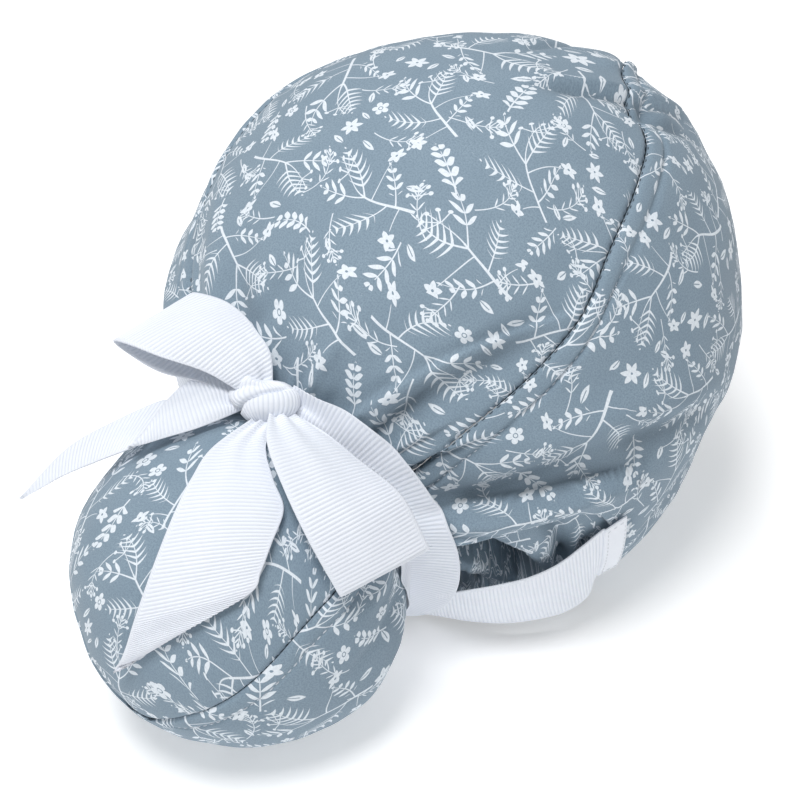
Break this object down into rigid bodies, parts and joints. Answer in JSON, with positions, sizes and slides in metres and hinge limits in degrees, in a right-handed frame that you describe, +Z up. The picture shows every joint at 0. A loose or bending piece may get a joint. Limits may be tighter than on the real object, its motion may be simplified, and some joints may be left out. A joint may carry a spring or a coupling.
{
  "type": "scrub cap",
  "caption": "Round cloth scrub cap with a rear hair pouch, gathered nape casing and a wide ribbon tied in a bow over the neck of the pouch",
  "frame": {"origin": "on the floor under the middle of the cap's length and width, the cap lying on its rim and its pouch", "axes": "+Z up, +X from the pouch towards the forehead, -Y the wearer's right"},
  "size_m": [0.2905, 0.201, 0.186],
  "materials": {
    "printed_cotton": "matt plain weave, dusty blue with a white botanical print",
    "white_grosgrain": "fine cross ribs, slightly satin"
  },
  "bodies": {
    "root": {"crown_panel": "printed_cotton", "side_band": "printed_cotton", "nape_casing": "printed_cotton", "pouch_top_panel": "printed_cotton", "pouch_side_panel": "printed_cotton", "ribbon_strap_right": "white_grosgrain", "ribbon_strap_left": "white_grosgrain", "ribbon_neck_wrap": "white_grosgrain", "bow_knot": "white_grosgrain", "bow_loop_left": "white_grosgrain", "bow_loop_right": "white_grosgrain", "bow_tail_left": "white_grosgrain", "bow_tail_front": "white_grosgrain"}
  },
  "joints": []
}
